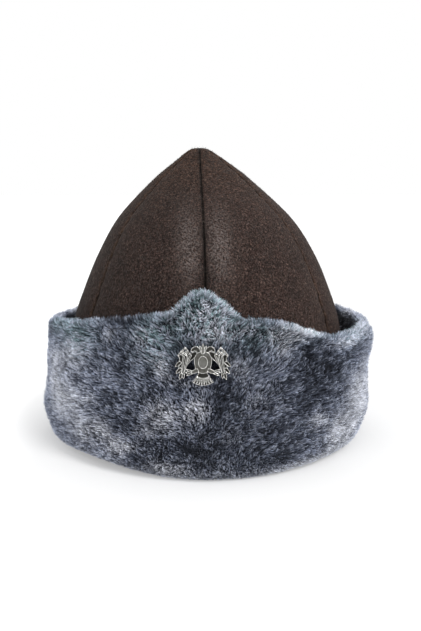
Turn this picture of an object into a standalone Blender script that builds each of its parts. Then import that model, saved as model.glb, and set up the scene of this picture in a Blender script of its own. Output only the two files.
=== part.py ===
"""A bork: a pointed felt cap of sewn gores in a deep turned-up fur band, with a pierced metal badge.

Metres, +Z up. The cap faces -Y, +X is the right as seen from the front, and the origin is the centre
of the bounding box on the surface that the band rests on. Azimuths are in degrees from the front
towards +X, as they are before the circle is stretched to the oval of the head.
"""

import functools
import math
import random

import bmesh
import bpy
from mathutils import Matrix, Vector

# Crown: felt, sewn of gores.
FELT = 0.0025
SEAM_GAP = 0.0004
CROWN_DEPTH_RATIO = 1.12
CROWN_ROWS = 15
GORE_COLUMNS = 8
APEX_LEAN = -0.0042
LEAN_START = 0.092
MIDDLE_SHIFT = 0.0008
SHIFTED = (0.040, 0.160)
SEAM_DIP_LOW = 0.0030
SEAM_DIP_HIGH = 0.0007
SEAM_SHARPNESS = 7
DIP_AT_TIP = 0.1
TIP_HALF_WIDTH = 0.0007
CURVE_STEPS = 24

# Rows from the lower edge to the tip: half width and height of the felt's outer face.
CROWN_SECTIONS = (
    (0.0925, 0.0033),
    (0.0917, 0.0380),
    (0.0882, 0.0720),
    (0.0807, 0.0954),
    (0.0705, 0.1188),
    (0.0560, 0.1420),
    (0.0325, 0.1651),
    (0.0176, 0.1767),
    (0.0064, 0.1846),
    (0.0009, 0.1858),
)

# The seams' azimuths, on both sides of each gore.
GORES = (
    ("crown_gore_front_right", -1, 60),
    ("crown_gore_side_right", 60, 120),
    ("crown_gore_back_right", 120, 180),
    ("crown_gore_back_left", 180, 240),
    ("crown_gore_side_left", 240, 302),
    ("crown_gore_front_left", 302, 359),
)

# Fur band: a folded strip whose lower fold is sewn to the crown's edge, and whose rim stands free.
BAND_HALF_WIDTH = 0.1057
BAND_HALF_DEPTH = 0.1178
BAND_PLAN_POWER = 1.92
RING_STEPS = 96
FOOT_OUTER = -0.0085
FOLD_HEIGHT = 0.0120
FOLD_TURNS = (30, 60)

# Where the fold's lower corner is raised off the floor: azimuth, reach along it, height.
FOOT_LIFTS = (
    (-42, 36, 0.0036),
    (46, 32, 0.0013),
)

HEM_THICKNESS = 0.0030
SEWN_HEIGHT = 0.0140
SEWN_GAP = 0.0003
CROWN_CLEARANCE = 0.0005
INNER_ROWS = 4
RIM_RADIUS = 0.0056
RIM_ROWS = 5
WALL_BULGE = 0.0018

# Locks of the fur, in rows up the outer wall. Each row's tips lie over the row below.
LOCK_ROWS = 6
LOCK_RELIEF = 0.0012
LOCK_STAGGER = 0.35
LOCK_LIP = 0.0013
LOCK_UNEVEN = (0.4, 1.4)
PARTING_SWELL = -0.2
LOCK_SLANT = 0.30
LOCK_SHIFT = 0.16

# Rim round the band: azimuth, height of the crest, how far it leans out from the lower wall.
RIM = (
    (-180, 0.0780, 0.0000),
    (-135, 0.0745, 0.0000),
    (-90, 0.0752, -0.0008),
    (-50, 0.0838, -0.0030),
    (-28, 0.0895, -0.0080),
    (-14, 0.0935, -0.0095),
    (0, 0.0925, -0.0100),
    (14, 0.0900, -0.0095),
    (28, 0.0870, -0.0080),
    (50, 0.0762, -0.0012),
    (90, 0.0750, 0.0036),
    (135, 0.0765, 0.0020),
)

# The peak over the badge. Its left side steps up from the rim, and its right side slopes.
PEAK_RISE = 0.0150
PEAK_AZIMUTH = -1.4
PEAK_LEFT = 11.5
PEAK_RIGHT = 14.0
PEAK_LEFT_POWER = 1.7
PEAK_RIGHT_POWER = 1.6

# Dents and swells of the outer wall: azimuth, height, reach along both, depth (a swell is negative).
DENTS = (
    (-31.0, 0.0800, 3.5, 0.012, 0.0022),
    (-12.0, 0.0900, 2.5, 0.010, 0.0020),
    (20.0, 0.0780, 5.0, 0.012, 0.0016),
    (-64.0, 0.0300, 3.5, 0.008, 0.0014),
    (-82.0, 0.0200, 15.0, 0.009, -0.0022),
    (-80.0, 0.0560, 14.0, 0.014, 0.0008),
    (-78.0, 0.0400, 14.0, 0.010, 0.0010),
    (48.0, 0.0620, 12.0, 0.010, 0.0016),
    (-52.0, 0.0400, 14.0, 0.014, -0.0012),
    (66.0, 0.0300, 10.0, 0.014, -0.0014),
    (88.0, 0.0450, 10.0, 0.012, 0.0026),
    (85.0, 0.0620, 16.0, 0.009, -0.0028),
    (85.0, 0.0190, 14.0, 0.009, -0.0026),
    (150.0, 0.0450, 14.0, 0.016, 0.0014),
    (-140.0, 0.0400, 16.0, 0.016, 0.0014),
)

# Badge: pierced metal plate in the form of a two-headed eagle, on one post.
BADGE_CENTRE = (-0.0020, 0.0667)
BADGE_SINK = 0.0008
BADGE_TILT = math.radians(7.7)
BADGE_POCKET = (0.0215, 0.0215)
BADGE_GAP = 0.0003
BADGE_PLATE = 0.0012
POST_RADIUS = 0.0015
POST_LENGTH = 0.0065
POST_SIDES = 16
POST_CLEARANCE = 0.0004

# The eagle in millimetres: x to the right of its middle, y up along the wall.
MM = 0.001
PLATE_EDGE = 0.40
PLATE_SINK = 0.45

# Outlines of the plates on the right side, anticlockwise.
WING = (
    (3.0, 5.6), (4.8, 3.6), (7.0, 1.6), (8.9, -0.8), (9.7, -3.4), (10.0, -6.2), (12.2, -6.0),
    (13.0, -3.0), (13.1, 0.4), (12.6, 3.4), (13.8, 5.1), (9.6, 5.5), (6.2, 6.2), (4.0, 7.0),
)
HEAD = (
    (0.8, 5.8), (2.9, 6.2), (3.6, 7.3), (4.7, 7.6), (5.5, 6.7), (6.6, 7.2), (6.0, 8.7),
    (4.9, 9.5), (3.4, 9.7), (2.1, 8.8), (1.3, 7.4),
)
BODY_HALF = (
    (0.0, -4.9), (2.2, -4.4), (3.8, -3.0), (4.5, 0.0), (4.8, 3.2), (3.3, 6.0), (1.6, 6.8),
)

# Heights of the plates' edges above the badge's back.
WING_HEIGHT = 1.60
HEAD_HEIGHT = 1.80
BODY_HEIGHT = 2.00
TAIL_HEIGHT = 1.50
COLLAR_HEIGHT = 1.70

# Leaf-shaped pieces of the right side: root x and y, tip x and y, greatest width, height.
LEAVES = (
    (6.4, 5.2, 9.2, -0.4, 0.8, 1.45),
    (8.4, 4.9, 10.4, -4.6, 0.8, 1.47),
    (10.4, 4.6, 11.6, -5.0, 0.8, 1.49),
    (12.0, 1.4, 15.0, -1.2, 1.6, 1.30),
    (12.0, -2.2, 14.6, -4.9, 1.6, 1.32),
    (11.6, -4.8, 12.7, -8.2, 1.5, 1.34),
    (10.8, -5.2, 10.6, -7.6, 1.3, 1.36),
    (7.4, 5.4, 9.9, 9.6, 0.8, 1.38),
    (13.4, 4.8, 9.5, 9.2, 0.8, 1.40),
    (8.9, 5.0, 12.2, 7.3, 0.7, 1.42),
    (11.4, 5.0, 8.0, 7.7, 0.7, 1.43),
    (2.6, -3.0, 6.6, -4.6, 2.0, 1.56),
    (5.6, -4.2, 9.3, -2.7, 1.0, 1.44),
    (5.8, -4.4, 9.6, -4.3, 1.0, 1.46),
    (5.6, -4.5, 8.9, -6.0, 1.0, 1.48),
    (0.3, 6.2, 1.9, 10.2, 1.0, 1.62),
)
CREST = (0.0, 5.8, 0.0, 11.4, 1.5, 1.72)
BOSS_CENTRE = (0.0, 1.2)
BOSS_RADII = (2.5, 3.4)
BOSS_SIDES = 16
BOSS_HEIGHT = 2.3
LEAF_STEPS = 4
LEAF_FULLNESS = 0.6

# The tail is a fan round one point, a collar above and a wider piece below, with raised rays.
FAN_CENTRE = (0.0, -1.6)
FAN_SPREAD = math.radians(35)
FAN_STEPS = 6
COLLAR_REACH = (2.6, 5.9)
TAIL_REACH = (5.6, 9.8)
RAY_COUNT = 8
RAY_SPREAD = 0.86 * FAN_SPREAD
RAY_WIDTH = 0.55
RAY_REACH = (6.0, 9.5)
RAY_HEIGHT = 1.35

# Moves the middle of the bounding box onto the origin.
CENTRING = Vector((-0.00164, -0.00098, 0))

FELT_COLOUR = (0.045, 0.032, 0.026, 1)
FUR_COLOUR = (0.165, 0.185, 0.220, 1)
METAL_COLOUR = (0.42, 0.42, 0.40, 1)


def clear_scene():
    for obj in list(bpy.data.objects):
        bpy.data.objects.remove(obj)


def material(name, colour, roughness, metallic=0.0):
    made = bpy.data.materials.new(name)
    made.use_nodes = True
    shader = made.node_tree.nodes["Principled BSDF"]
    shader.inputs["Base Color"].default_value = colour
    shader.inputs["Roughness"].default_value = roughness
    shader.inputs["Metallic"].default_value = metallic
    return made


def add_object(name, points, faces, finish):
    mesh = bpy.data.meshes.new(name)
    mesh.from_pydata([tuple(p) for p in points], [], faces)
    mesh.materials.append(finish)
    mesh.validate()
    mesh.shade_smooth()
    mesh.set_sharp_from_angle(angle=math.radians(40))
    obj = bpy.data.objects.new(name, mesh)
    bpy.context.collection.objects.link(obj)
    return obj


def spline(before, start, end, after, t):
    """A Catmull-Rom curve's value at t, between start and end."""
    return 0.5 * (
        2 * start
        + (end - before) * t
        + (2 * before - 5 * start + 4 * end - after) * t * t
        + (3 * start - before - 3 * end + after) * t**3
    )


def profile_points(rows, count):
    """Points at even spacing along a smooth curve through the rows."""
    ends = [Vector(row) for row in rows]
    ends = [2 * ends[0] - ends[1], *ends, 2 * ends[-1] - ends[-2]]
    fine = []
    for k in range(1, len(ends) - 2):
        fine += [spline(*ends[k - 1 : k + 3], t / CURVE_STEPS) for t in range(CURVE_STEPS)]
    fine.append(ends[-2])
    travelled = [0.0]
    for a, b in zip(fine, fine[1:]):
        travelled.append(travelled[-1] + (b - a).length)
    found, k = [], 0
    for n in range(count):
        wanted = travelled[-1] * n / (count - 1)
        while k < len(fine) - 2 and travelled[k + 1] < wanted:
            k += 1
        share = (wanted - travelled[k]) / (travelled[k + 1] - travelled[k])
        found.append(fine[k].lerp(fine[k + 1], min(share, 1.0)))
    return found


def oval(half_width, half_depth, azimuth, power=2.0):
    """A point of an oval, or of a superellipse, at an azimuth from the front."""
    across, ahead = math.sin(math.radians(azimuth)), math.cos(math.radians(azimuth))
    reach = (abs(across) ** power + abs(ahead) ** power) ** (-1 / power)
    return Vector((half_width * across * reach, -half_depth * ahead * reach, 0))


def crown_centre(height):
    """The crown's middle rows stand a little to the right of its lower edge, and its tip leans left."""
    tip = CROWN_SECTIONS[-1][1]
    share = max(0.0, (height - LEAN_START) / (tip - LEAN_START))
    low, high = SHIFTED
    shift = MIDDLE_SHIFT * math.sin(math.pi * min(max((height - low) / (high - low), 0), 1))
    return Vector((APEX_LEAN * share * share + shift, 0, height))


def crown_point(half_width, height, azimuth):
    plan = oval(half_width, half_width * CROWN_DEPTH_RATIO, azimuth)
    return crown_centre(height) + plan


def seam_dip(across, height):
    """How far the felt is drawn in beside a seam. across runs from 0 to 1 over a gore."""
    tip = CROWN_SECTIONS[-1][1]
    depth = SEAM_DIP_LOW + (SEAM_DIP_HIGH - SEAM_DIP_LOW) * min(1, height / tip)
    return depth * abs(2 * across - 1) ** SEAM_SHARPNESS


def gore_point(section, across, first, last):
    """A point of a gore, clear of both its seams. section is half width and height."""
    half_width = max(section.x, TIP_HALF_WIDTH)
    trim = math.degrees(math.asin(SEAM_GAP / 2 / half_width))
    azimuth = first + trim + (last - first - 2 * trim) * across
    return crown_point(half_width, section.y, azimuth)


def crown_gore(name, first, last, felt):
    """One gore: a felt wall between two seams, from the lower edge to the tip."""
    profile = profile_points(CROWN_SECTIONS, CROWN_ROWS)
    outer, inner = [], []
    for row, section in enumerate(profile):
        below = profile[max(row - 1, 0)]
        above = profile[min(row + 1, CROWN_ROWS - 1)]
        rise = (above - below).normalized()
        inward = Vector((-rise.y, rise.x)) if row else Vector((-1, 0))
        for column in range(GORE_COLUMNS + 1):
            across = column / GORE_COLUMNS
            dip = min(seam_dip(across, section.y), section.x * DIP_AT_TIP)
            outer.append(gore_point(section + inward * dip, across, first, last))
            inner.append(gore_point(section + inward * (dip + FELT), across, first, last))
    faces = shell_faces(CROWN_ROWS, GORE_COLUMNS + 1)
    return add_object(name, outer + inner, faces, felt)


def shell_faces(rows, columns):
    """Faces of a wall given as an outer grid of points and then an inner one."""

    def at(row, column, side):
        return side * rows * columns + row * columns + column

    faces = []
    for r in range(rows - 1):
        for c in range(columns - 1):
            faces.append((at(r, c, 0), at(r, c + 1, 0), at(r + 1, c + 1, 0), at(r + 1, c, 0)))
            faces.append((at(r, c, 1), at(r + 1, c, 1), at(r + 1, c + 1, 1), at(r, c + 1, 1)))
    for r in range(rows - 1):
        last = columns - 1
        faces.append((at(r, 0, 0), at(r + 1, 0, 0), at(r + 1, 0, 1), at(r, 0, 1)))
        faces.append((at(r, last, 0), at(r, last, 1), at(r + 1, last, 1), at(r + 1, last, 0)))
    for c in range(columns - 1):
        top = rows - 1
        faces.append((at(0, c, 0), at(0, c, 1), at(0, c + 1, 1), at(0, c + 1, 0)))
        faces.append((at(top, c, 0), at(top, c + 1, 0), at(top, c + 1, 1), at(top, c, 1)))
    return faces


def rim_at(azimuth):
    """Crest height and outward lean of the rim, smooth round the band."""
    count = len(RIM)
    k = max(n for n in range(count) if RIM[n][0] <= azimuth)
    turns = [RIM[(k + n) % count] for n in (-1, 0, 1, 2)]
    gap = (turns[2][0] - turns[1][0]) % 360
    t = (azimuth - turns[1][0]) / gap
    return [spline(*(turn[n] for turn in turns), t) for n in (1, 2)]


def peak_at(azimuth):
    """Rise of the peak over the rim."""
    turn = azimuth - PEAK_AZIMUTH
    half, power = (PEAK_LEFT, PEAK_LEFT_POWER) if turn < 0 else (PEAK_RIGHT, PEAK_RIGHT_POWER)
    return PEAK_RISE * max(0.0, 1 - (abs(turn) / half) ** power)


def foot_lift(azimuth):
    """Height of the fold's lower corner above the floor."""
    total = 0.0
    for centre, reach, height in FOOT_LIFTS:
        share = min(abs((azimuth - centre + 180) % 360 - 180) / reach, 1)
        total += height * math.cos(math.pi * share / 2) ** 2
    return total


def dent_at(azimuth, height):
    total = 0.0
    for centre, middle, reach, tall, depth in DENTS:
        turn = (azimuth - centre + 180) % 360 - 180
        total += depth * math.exp(-((turn / reach) ** 2) - ((height - middle) / tall) ** 2)
    return total


def lock_tip(step, row):
    """A lock's tip, or the parting beside it: place up the wall in rows, place round it, swell."""
    middle = (step + row) % 2 == 0
    chance = random.Random(step * (LOCK_ROWS + 1) + row)
    along = row + chance.uniform(-LOCK_SHIFT, LOCK_SHIFT) + (0 if middle else LOCK_STAGGER)
    around = step + LOCK_SLANT + chance.uniform(-LOCK_SHIFT, LOCK_SHIFT)
    swell = LOCK_RELIEF * chance.uniform(*LOCK_UNEVEN) * (1 if middle else PARTING_SWELL)
    return min(max(along, 0), LOCK_ROWS), around, swell


def lock_points(step, shoulder):
    """Azimuth, height and swell up the wall: each lock's tip, then the hollow under the next one."""
    pitch = (shoulder - FOLD_HEIGHT) / LOCK_ROWS
    for row in range(LOCK_ROWS):
        along, around, swell = lock_tip(step, row)
        above = lock_tip(step, row + 1)[0]
        yield step_azimuth(around), FOLD_HEIGHT + pitch * along, swell
        if row < LOCK_ROWS - 1:
            yield step_azimuth(step), FOLD_HEIGHT + pitch * above - LOCK_LIP, -LOCK_RELIEF


def step_azimuth(step):
    return (step * 360 / RING_STEPS + 180) % 360 - 180


def band_point(azimuth, offset, height):
    """A point this far outside the band's lower wall."""
    plan = oval(BAND_HALF_WIDTH + offset, BAND_HALF_DEPTH + offset, azimuth, BAND_PLAN_POWER)
    return plan + Vector((0, 0, height))


def badge_matrix():
    """The badge's own frame: x right, y up along the wall, z out of it, origin on the plate's back."""
    x, z = BADGE_CENTRE
    surface = wall_offset(0, z)
    back = -(BAND_HALF_DEPTH + surface) + BADGE_SINK
    up = Vector((0, math.sin(BADGE_TILT), math.cos(BADGE_TILT)))
    right = Vector((1, 0, 0))
    out = right.cross(up)
    turn = Matrix((right, up, out)).transposed().to_4x4()
    return Matrix.Translation((x, back, z)) @ turn


def wall_offset(azimuth, height):
    """Offset of the outer wall, with its lean and its soft bulge but no locks."""
    crest, lean = rim_at(azimuth)
    crest += peak_at(azimuth)
    share = (height - FOLD_HEIGHT) / (crest - RIM_RADIUS - FOLD_HEIGHT)
    share = min(max(share, 0.0), 1.0)
    return lean * share + WALL_BULGE * math.sin(math.pi * share)


def pressed_by_badge(point, to_badge, from_badge):
    """The fur lies flat behind the badge."""
    local = to_badge @ point
    wide, tall = BADGE_POCKET
    if (local.x / wide) ** 2 + (local.y / tall) ** 2 < 1:
        local.z = min(local.z, -BADGE_GAP)
        return from_badge @ local
    return point


@functools.lru_cache(maxsize=None)
def crown_curve():
    return profile_points(CROWN_SECTIONS, CROWN_ROWS * 6)


def crown_half_width(height):
    """Half width of the felt's outer face at a height."""
    fine = crown_curve()
    k = max(n for n in range(len(fine) - 1) if fine[n].y <= height)
    share = (height - fine[k].y) / (fine[k + 1].y - fine[k].y)
    return fine[k].x + (fine[k + 1].x - fine[k].x) * share


def inner_wall(point, azimuth):
    """The point itself, or one just clear of the crown where the crown would reach past it."""
    beside_crown = crown_point(crown_half_width(point.z) + CROWN_CLEARANCE, point.z, azimuth)
    return max(point, beside_crown, key=lambda p: p.to_2d().length)


def band_section(step, to_badge, from_badge):
    """One section of the band, from the foot's inner edge round the fold, over the rim and back."""
    azimuth = step_azimuth(step)
    crest, lean = rim_at(azimuth)
    crest += peak_at(azimuth)
    crown_edge = CROWN_SECTIONS[0][0]
    inner_foot = crown_point(crown_edge - FELT, 0, azimuth)
    lift = foot_lift(azimuth)
    section = [inner_foot, band_point(azimuth, FOOT_OUTER, lift)]
    for degrees in FOLD_TURNS:
        turn = math.radians(degrees)
        offset = FOOT_OUTER * (1 - math.sin(turn))
        height = lift + (FOLD_HEIGHT - lift) * (1 - math.cos(turn))
        section.append(band_point(azimuth, offset, height))
    shoulder = crest - RIM_RADIUS
    for around, height, swell in lock_points(step, shoulder):
        offset = wall_offset(around, height) + swell - dent_at(around, height)
        point = band_point(around, offset, height)
        section.append(pressed_by_badge(point, to_badge, from_badge))
    for row in range(RIM_ROWS + 1):
        turn = math.pi * row / RIM_ROWS
        radius = RIM_RADIUS + lock_tip(step, LOCK_ROWS)[2] * math.sin(turn)
        offset = lean - RIM_RADIUS + radius * math.cos(turn)
        section.append(band_point(azimuth, offset, shoulder + radius * math.sin(turn)))
    seat = crown_point(crown_edge + SEWN_GAP, SEWN_HEIGHT, azimuth)
    rim_inner = section[-1]
    for row in range(1, INNER_ROWS):
        section.append(inner_wall(rim_inner.lerp(seat, row / INNER_ROWS), azimuth))
    section.append(seat)
    section.append(crown_point(crown_edge + SEWN_GAP, HEM_THICKNESS, azimuth))
    section.append(crown_point(crown_edge - FELT, HEM_THICKNESS, azimuth))
    return section


def fur_band(fur):
    from_badge = badge_matrix()
    to_badge = from_badge.inverted()
    sections = [band_section(step, to_badge, from_badge) for step in range(RING_STEPS)]
    size = len(sections[0])
    faces = []
    for step in range(RING_STEPS):
        here, there = step * size, (step + 1) % RING_STEPS * size
        for n in range(size):
            after = (n + 1) % size
            faces.append((here + n, there + n, there + after, here + after))
    band = add_object("fur_band", sum(sections, []), faces, fur)
    cut_post_hole(band, from_badge)
    return band


def cylinder_points(radius, sides, low, high):
    ring = [Vector((radius * math.cos(a), radius * math.sin(a), 0)) for a in turn_angles(sides)]
    return [p + Vector((0, 0, low)) for p in ring] + [p + Vector((0, 0, high)) for p in ring]


def turn_angles(count):
    return [2 * math.pi * n / count for n in range(count)]


def prism_faces(sides):
    walls = [(n, (n + 1) % sides, (n + 1) % sides + sides, n + sides) for n in range(sides)]
    return [tuple(reversed(range(sides))), tuple(range(sides, 2 * sides)), *walls]


def as_tool(obj):
    """A piece used only by a Boolean."""
    obj.hide_render = True
    obj.display_type = "WIRE"
    return obj


def cut_post_hole(band, from_badge):
    """A blind hole in the fur for the badge's post."""
    depth = POST_LENGTH + POST_CLEARANCE
    points = cylinder_points(POST_RADIUS + POST_CLEARANCE, POST_SIDES, -depth, BADGE_PLATE)
    hole = as_tool(add_object("post_hole", points, prism_faces(POST_SIDES), band.data.materials[0]))
    hole.matrix_world = from_badge
    cut = band.modifiers.new("post_hole", "BOOLEAN")
    cut.operation = "DIFFERENCE"
    cut.object = hole


def leaf_outline(root, tip, width):
    """A leaf: blunt at its root, widest before the middle, pointed at its tip."""
    along = tip - root
    side = Vector((-along.y, along.x)).normalized() * width / 2
    right, left = [], []
    for n in range(LEAF_STEPS):
        share = n / LEAF_STEPS
        swell = math.sin(math.pi * (0.25 + 0.75 * share)) ** LEAF_FULLNESS
        right.append(root + along * share - side * swell)
        left.append(root + along * share + side * swell)
    return [*right, tip, *reversed(left)]


def fan_point(reach, turn):
    return Vector(FAN_CENTRE) + Vector((reach * math.sin(turn), -reach * math.cos(turn)))


def fan_outline(low, high):
    """A sector of a ring round the fan's centre."""
    turns = [FAN_SPREAD * (2 * n / FAN_STEPS - 1) for n in range(FAN_STEPS + 1)]
    far = [fan_point(high, turn) for turn in turns]
    near = [fan_point(low, turn) for turn in reversed(turns)]
    return far + near


def mirrored(outline):
    return [Vector((-p.x, p.y)) for p in reversed(outline)]


def plate_piece(name, outline, height, metal, low=0.0, rimmed=False):
    """A flat piece of the badge. A rimmed one has a raised edge round a sunk field."""
    model = bmesh.new()
    base = [model.verts.new((p.x * MM, p.y * MM, low * MM)) for p in outline]
    top = [model.verts.new((p.x * MM, p.y * MM, height * MM)) for p in outline]
    model.faces.new(reversed(base))
    field = model.faces.new(top)
    for n in range(len(outline)):
        after = (n + 1) % len(outline)
        model.faces.new((base[n], base[after], top[after], top[n]))
    if rimmed:
        bmesh.ops.inset_region(model, faces=[field], thickness=PLATE_EDGE * MM, use_even_offset=True)
        sunk = bmesh.ops.extrude_discrete_faces(model, faces=[field])["faces"][0]
        bmesh.ops.translate(model, verts=sunk.verts, vec=(0, 0, -PLATE_SINK * MM))
    mesh = bpy.data.meshes.new(name)
    model.to_mesh(mesh)
    model.free()
    mesh.materials.append(metal)
    obj = bpy.data.objects.new(name, mesh)
    bpy.context.collection.objects.link(obj)
    return obj


def eagle_pieces():
    """Outline, height and rim of each piece but the body."""
    for outline, height in ((WING, WING_HEIGHT), (HEAD, HEAD_HEIGHT)):
        points = [Vector(p) for p in outline]
        yield points, height, True
        yield mirrored(points), height, True
    for *ends, width, height in LEAVES:
        leaf = leaf_outline(Vector(ends[:2]), Vector(ends[2:]), width)
        yield leaf, height, False
        yield mirrored(leaf), height, False
    *ends, width, height = CREST
    yield leaf_outline(Vector(ends[:2]), Vector(ends[2:]), width), height, False
    yield fan_outline(*COLLAR_REACH), COLLAR_HEIGHT, True
    yield fan_outline(*TAIL_REACH), TAIL_HEIGHT, True
    for n in range(RAY_COUNT):
        turn = RAY_SPREAD * (2 * n / (RAY_COUNT - 1) - 1)
        near, far = (fan_point(reach, turn) for reach in RAY_REACH)
        yield leaf_outline(near, far, RAY_WIDTH), RAY_HEIGHT, False


def boss_outline():
    x, y = BOSS_CENTRE
    return [
        Vector((x + BOSS_RADII[0] * math.cos(a), y + BOSS_RADII[1] * math.sin(a)))
        for a in turn_angles(BOSS_SIDES)
    ]


def badge(metal):
    """The eagle: its body, joined with its wings, heads, legs, tail and post."""
    place = badge_matrix()
    joined = bpy.data.collections.new("badge_pieces")
    bpy.context.scene.collection.children.link(joined)
    pieces = []
    for n, (outline, height, rimmed) in enumerate(eagle_pieces()):
        pieces.append(plate_piece(f"piece_{n}", outline, height, metal, rimmed=rimmed))
    pieces.append(plate_piece("boss", boss_outline(), BOSS_HEIGHT, metal, low=BADGE_PLATE / MM / 2))
    post = cylinder_points(POST_RADIUS, POST_SIDES, -POST_LENGTH, BADGE_PLATE / 2)
    pieces.append(add_object("post", post, prism_faces(POST_SIDES), metal))
    for piece in pieces:
        piece.matrix_world = place
        bpy.context.collection.objects.unlink(piece)
        joined.objects.link(as_tool(piece))
    half = [Vector(p) for p in BODY_HALF]
    body = plate_piece("badge", half + mirrored(half)[:-1], BODY_HEIGHT, metal, rimmed=True)
    body.matrix_world = place
    union = body.modifiers.new("join", "BOOLEAN")
    union.operation = "UNION"
    union.operand_type = "COLLECTION"
    union.collection = joined
    return body


def main():
    clear_scene()
    felt = material("crown_felt", FELT_COLOUR, 0.9)
    fur = material("band_fur", FUR_COLOUR, 0.95)
    metal = material("badge_metal", METAL_COLOUR, 0.35, 1.0)
    for name, first, last in GORES:
        crown_gore(name, first, last, felt)
    fur_band(fur)
    badge(metal)
    for obj in bpy.data.objects:
        obj.location += CENTRING


main()
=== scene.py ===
"""Looks of the bork: fine felt gores with fibres, a band of fur strands on its backing, a silvery badge.

Metres, +Z up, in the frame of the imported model. The cap faces -Y and +X is the right as seen from the
front. Azimuths are in degrees from the front towards +X.
"""

import math

import bpy
import numpy as np
from mathutils import Matrix, Vector, noise
from numpy.linalg import norm


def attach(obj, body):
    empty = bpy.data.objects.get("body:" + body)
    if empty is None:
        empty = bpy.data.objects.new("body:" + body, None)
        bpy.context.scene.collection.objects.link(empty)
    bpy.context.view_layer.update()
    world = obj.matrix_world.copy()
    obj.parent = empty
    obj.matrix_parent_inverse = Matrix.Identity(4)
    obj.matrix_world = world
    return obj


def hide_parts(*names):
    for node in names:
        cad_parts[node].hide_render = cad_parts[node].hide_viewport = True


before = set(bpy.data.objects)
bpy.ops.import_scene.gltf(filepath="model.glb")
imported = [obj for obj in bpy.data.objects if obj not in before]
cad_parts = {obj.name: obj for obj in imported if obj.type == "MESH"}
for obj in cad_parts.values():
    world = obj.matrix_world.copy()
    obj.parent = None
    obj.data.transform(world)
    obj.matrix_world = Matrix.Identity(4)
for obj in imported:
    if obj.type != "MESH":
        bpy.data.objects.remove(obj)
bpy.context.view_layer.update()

CENTRING = np.array((-0.00164, -0.00098, 0.0))

# Crown: felt, sewn of gores.
FELT = 0.0025
SEAM_GAP = 0.00006
CROWN_DEPTH_RATIO = 1.12
CROWN_ROWS = 96
APEX_LEAN = -0.0042
LEAN_START = 0.092
MIDDLE_SHIFT = 0.0008
SHIFTED = (0.040, 0.160)
SEAM_DIPS = (0.0030, 0.0007)
SEAM_SHARPNESS = 7
DIP_AT_TIP = 0.1
TIP_HALF_WIDTH = 0.0007
CURVE_STEPS = 24
CURVE_POINTS = 400
GORE_WIDENING = 1.06

# Rows from the lower edge to the tip: half width and height of the felt's outer face.
CROWN_SECTIONS = (
    (0.0925, 0.0033),
    (0.0917, 0.0380),
    (0.0882, 0.0720),
    (0.0807, 0.0954),
    (0.0705, 0.1188),
    (0.0560, 0.1420),
    (0.0325, 0.1651),
    (0.0176, 0.1767),
    (0.0064, 0.1846),
    (0.0009, 0.1858),
)
CROWN_TOP = CROWN_SECTIONS[-1][1]
CROWN_EDGE = CROWN_SECTIONS[0][0]

# The gores: name, azimuths of the two seams.
GORES = (
    ("crown_gore_front_right", -1, 60),
    ("crown_gore_side_right", 60, 120),
    ("crown_gore_back_right", 120, 180),
    ("crown_gore_back_left", 180, 240),
    ("crown_gore_side_left", 240, 302),
    ("crown_gore_front_left", 302, 359),
)

# The seam between these two gets the full painted shade in its groove, with painted shade and a painted
# highlight beside it. The others show a worn line, and less painted shade in their grooves.
FRONT_GORES = ("crown_gore_front_right", "crown_gore_front_left")
WORN_SEAM = 0.24

# Columns of a gore beside a seam, as shares of its width, and between them.
EDGE_SHARES = (0, 0.0015, 0.004, 0.008, 0.013, 0.020, 0.030, 0.045, 0.065, 0.090)
MIDDLE_COLUMNS = 24

# The felt rolls in at a seam, and puckers beside it.
SEAM_ROLL = 0.0016
ROLL_AT_TIP = 0.18
PUCKER_DEPTH = 0.00022
PUCKER_LENGTHS = (0.0083, 0.0131)
PUCKER_REACH = 0.007
FELT_WAVE_DEPTH = 0.0005
FELT_WAVES_PER_METRE = 18
GORE_PHASE = 2.4
WAVE_PHASE = 1.7
SIDE_PHASE = 3.1
NOISE_SHIFT = (3.7, 1.9, 5.3)

# Folds and waves begin between these heights, and end between these half widths near the tip.
FOLDS_START = (0.050, 0.075)
FOLDS_END = (0.004, 0.020)

# Beside the front seam the felt is darkened by painted shade where it dips in, less towards the tip, and its
# nap gets a painted highlight in one place.
PAINTED_SHADE_WIDTHS = (0.0042, 0.0012)
PAINTED_SHADE_NARROWS = (0.085, 0.165)
PAINTED_SHADE_SHARES = (0.75, 0.45)
PAINTED_SHADE_FADES = (0.10, 0.17)
PAINTED_HIGHLIGHT_PLACE = (0.0095, 0.127)
PAINTED_HIGHLIGHT_REACH = (0.0075, 0.021)
WORN_PLACE = 0.0016
WORN_WIDTH = 0.0009
# Painted shade in the seams' grooves: the distances over which it fades, and its share at the seams other
# than the front one.
PAINTED_GROOVE_EDGES = (0.0003, 0.0011)
PAINTED_GROOVE_SHARE = 0.6

# Felt's colours: the stops of its streaks, painted shade at the left and painted light at the right, a factor
# high up, and seam colours: a painted highlight on the nap, painted shade where the felt dips, a worn line
# and painted shade in the grooves.
FELT_STREAKS = (
    (0.28, (0.0085, 0.0052, 0.0042)),
    (0.52, (0.0215, 0.0134, 0.0114)),
    (0.76, (0.0660, 0.0450, 0.0380)),
)
FELT_FINE = 1050
FELT_LONG = 420
FELT_LEVEL = (0.125, 0.175)
FELT_PAINTED_LIGHT_SIDES = (-0.090, 0.030)
FELT_LEFT_PAINTED_SHADE = (0.60, 0.60, 0.61)
FELT_RIGHT_PAINTED_LIGHT = (1.10, 1.11, 1.14)
FELT_HIGH = (1.16, 0.98, 0.76)
FELT_HEIGHTS = (0.135, 0.190)
FELT_HIGH_SHARE = 0.75
FELT_PAINTED_GLINT = (0.150, 0.126, 0.118)
FELT_PAINTED_PINCH_SHADE = (0.30, 0.27, 0.26)
FELT_WORN = (0.135, 0.078, 0.045)
FELT_PAINTED_GROOVE_SHADE = (0.006, 0.0045, 0.004)

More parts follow.
